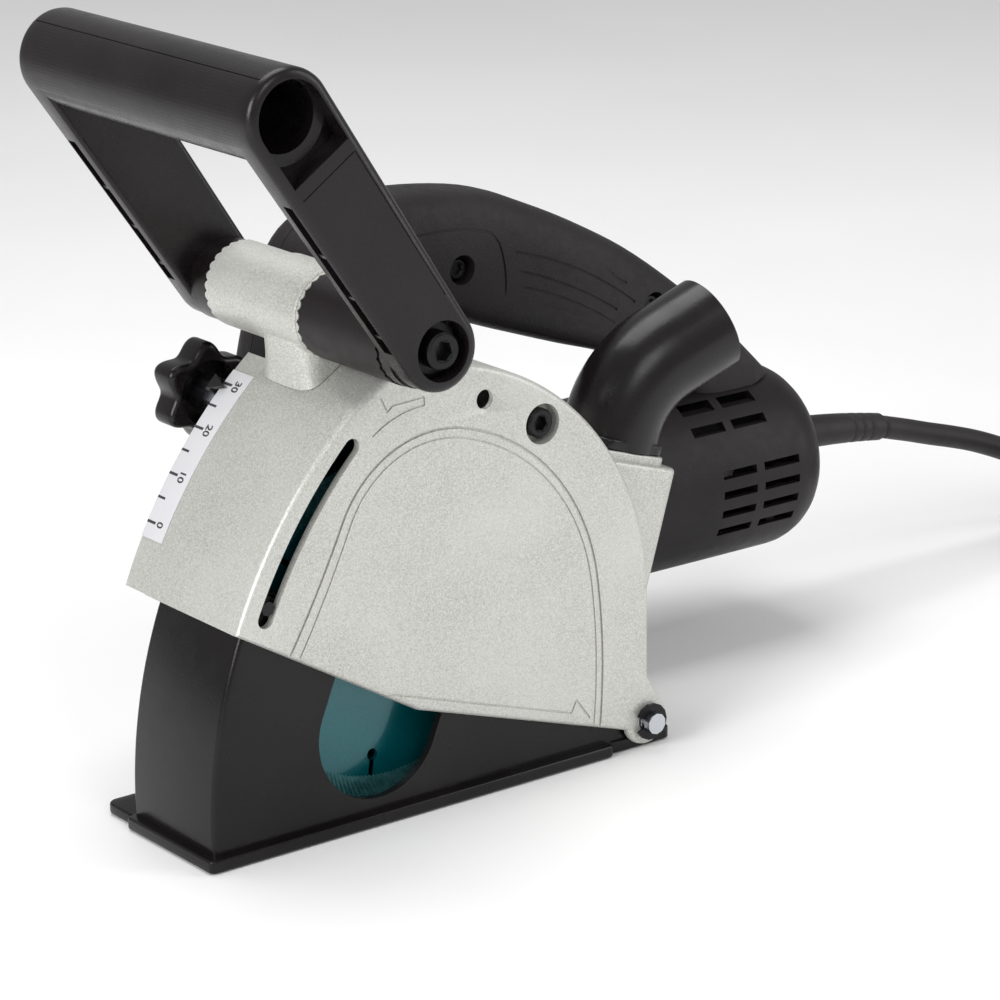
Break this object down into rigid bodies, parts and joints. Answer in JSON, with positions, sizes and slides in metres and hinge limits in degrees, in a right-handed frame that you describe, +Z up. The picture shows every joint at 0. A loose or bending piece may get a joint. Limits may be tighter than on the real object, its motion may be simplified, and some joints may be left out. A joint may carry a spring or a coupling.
{
  "type": "wall chaser",
  "caption": "Electric wall chaser: a cast guard and motor head that plunges on a slotted base, with a D-handle, tilting front grip, depth stop and dust nozzle.",
  "frame": {"origin": "on the ground under the middle of the tool's bounding box, its free cord left out", "axes": "+Z up, +X to the rear where the cord leaves the motor, -X the cutting direction and front grip, -Y the guard's cover side, +Y the motor side"},
  "size_m": [0.6313, 0.1826, 0.2814],
  "materials": {
    "silver_paint": "speckled silver paint on cast alloy",
    "black_plastic": "satin black-brown glass-filled plastic",
    "gloss_plastic": "glossy black plastic",
    "soft_grip": "fine-textured soft-touch skin on plastic",
    "black_base": "satin black coating on cast alloy",
    "black_steel": "black oxide steel",
    "zinc_steel": "bright zinc plated steel",
    "bare_steel": "bare machined steel",
    "teal_paint": "glossy teal lacquer on steel",
    "copper": "copper and brass, satin",
    "carbon": "pressed carbon",
    "white_label": "printed film label",
    "cord_rubber": "matt black-brown rubber"
  },
  "bodies": {
    "base": {"base_frame": "black_base", "pivot_pin": "zinc_steel", "pivot_circlip_right": "black_steel", "pivot_circlip_left": "black_steel", "return_spring": "bare_steel", "guide_pin": "bare_steel", "power_cord": "cord_rubber", "cord_coil": "cord_rubber", "plug": "cord_rubber"},
    "head": {"guard_cover": "silver_paint", "guard_left": "silver_paint", "cover_bolt": "black_steel", "scale_label": "white_label", "grip_base": "silver_paint", "grip_spacer": "black_plastic", "gear_housing": "silver_paint", "bearing_retainer": "bare_steel", "spindle_bearing_front": "bare_steel", "spindle_bearing_rear": "bare_steel", "bearing_plate": "silver_paint", "rotor_bearing_front": "bare_steel", "rotor_bearing_rear": "bare_steel", "motor_housing": "black_plastic", "handle_shell_right": "soft_grip", "handle_shell_left": "soft_grip", "handle_screw_1": "black_steel", "handle_screw_2": "black_steel", "handle_screw_3": "black_steel", "switch_body": "black_plastic", "stator": "bare_steel", "brush_holder_lower": "copper", "carbon_brush_lower": "carbon", "brush_holder_upper": "copper", "carbon_brush_upper": "carbon", "strain_relief": "cord_rubber", "dust_nozzle": "gloss_plastic"},
    "spindle_set": {"spindle": "bare_steel", "inner_flange": "bare_steel", "blade_left": "teal_paint", "blade_right": "teal_paint", "spacer_ring_1": "bare_steel", "spacer_ring_2": "bare_steel", "lock_nut": "black_steel", "bevel_wheel": "bare_steel"},
    "rotor": {"armature": "bare_steel", "commutator": "copper", "cooling_fan": "black_plastic", "bevel_pinion": "bare_steel"},
    "front_handle": {"front_grip": "black_plastic", "grip_washer_right": "black_steel", "grip_bolt_right": "black_steel", "grip_washer_left": "black_steel", "grip_bolt_left": "black_steel"},
    "trigger_lever": {"trigger": "black_plastic"},
    "lock_on": {"lock_on_button": "black_plastic"},
    "shaft_lock": {"shaft_lock_button": "black_plastic"},
    "stop_slide": {"stop_bolt": "zinc_steel", "stop_collar": "zinc_steel", "scale_pointer": "black_plastic"},
    "stop_knob": {"star_knob": "black_plastic"}
  },
  "joints": [
    {"name": "plunge", "type": "hinge", "parent": "base", "child": "head", "pos_m": [-0.00683, -0.01705, 0.011], "axis": [0, -1, 0], "range_deg": [0, 17.2], "stiffness_Nm_per_rad": 6.7, "springref_deg": -25.78},
    {"name": "spindle_spin", "type": "hinge", "parent": "head", "child": "spindle_set", "pos_m": [-0.11183, -0.01705, 0.066], "axis": [0, 1, 0], "continuous": true},
    {"name": "rotor_spin", "type": "hinge", "parent": "head", "child": "rotor", "pos_m": [-0.11183, 0.04795, 0.066], "axis": [1, 0, 0], "continuous": true},
    {"name": "front_handle_tilt", "type": "hinge", "parent": "head", "child": "front_handle", "pos_m": [-0.12383, -0.01705, 0.1792], "axis": [0, 1, 0], "range_deg": [-36, 54]},
    {"name": "trigger_pull", "type": "hinge", "parent": "head", "child": "trigger_lever", "pos_m": [-0.02183, 0.04795, 0.154], "axis": [0, 1, 0], "range_deg": [0, 7], "stiffness_Nm_per_rad": 0.8, "springref_deg": -8.59},
    {"name": "lock_on_press", "type": "slide", "parent": "head", "child": "lock_on", "axis": [0, -1, 0], "range_m": [0, 0.003], "stiffness_N_per_m": 300, "springref_m": -0.003},
    {"name": "shaft_lock_press", "type": "slide", "parent": "head", "child": "shaft_lock", "axis": [1, 0, 0], "range_m": [0, 0.004], "stiffness_N_per_m": 300, "springref_m": -0.003},
    {"name": "stop_setting", "type": "hinge", "parent": "head", "child": "stop_slide", "pos_m": [-0.00683, -0.01705, 0.011], "axis": [0, -1, 0], "range_deg": [0, 16.2]},
    {"name": "knob_turn", "type": "hinge", "parent": "stop_slide", "child": "stop_knob", "pos_m": [-0.13402, 0.04795, 0.13908], "axis": [0, 1, 0], "range_deg": [0, 360]}
  ],
  "couplings": [
    {"joint": "rotor_spin", "follows": "spindle_spin", "ratio": 3}
  ]
}
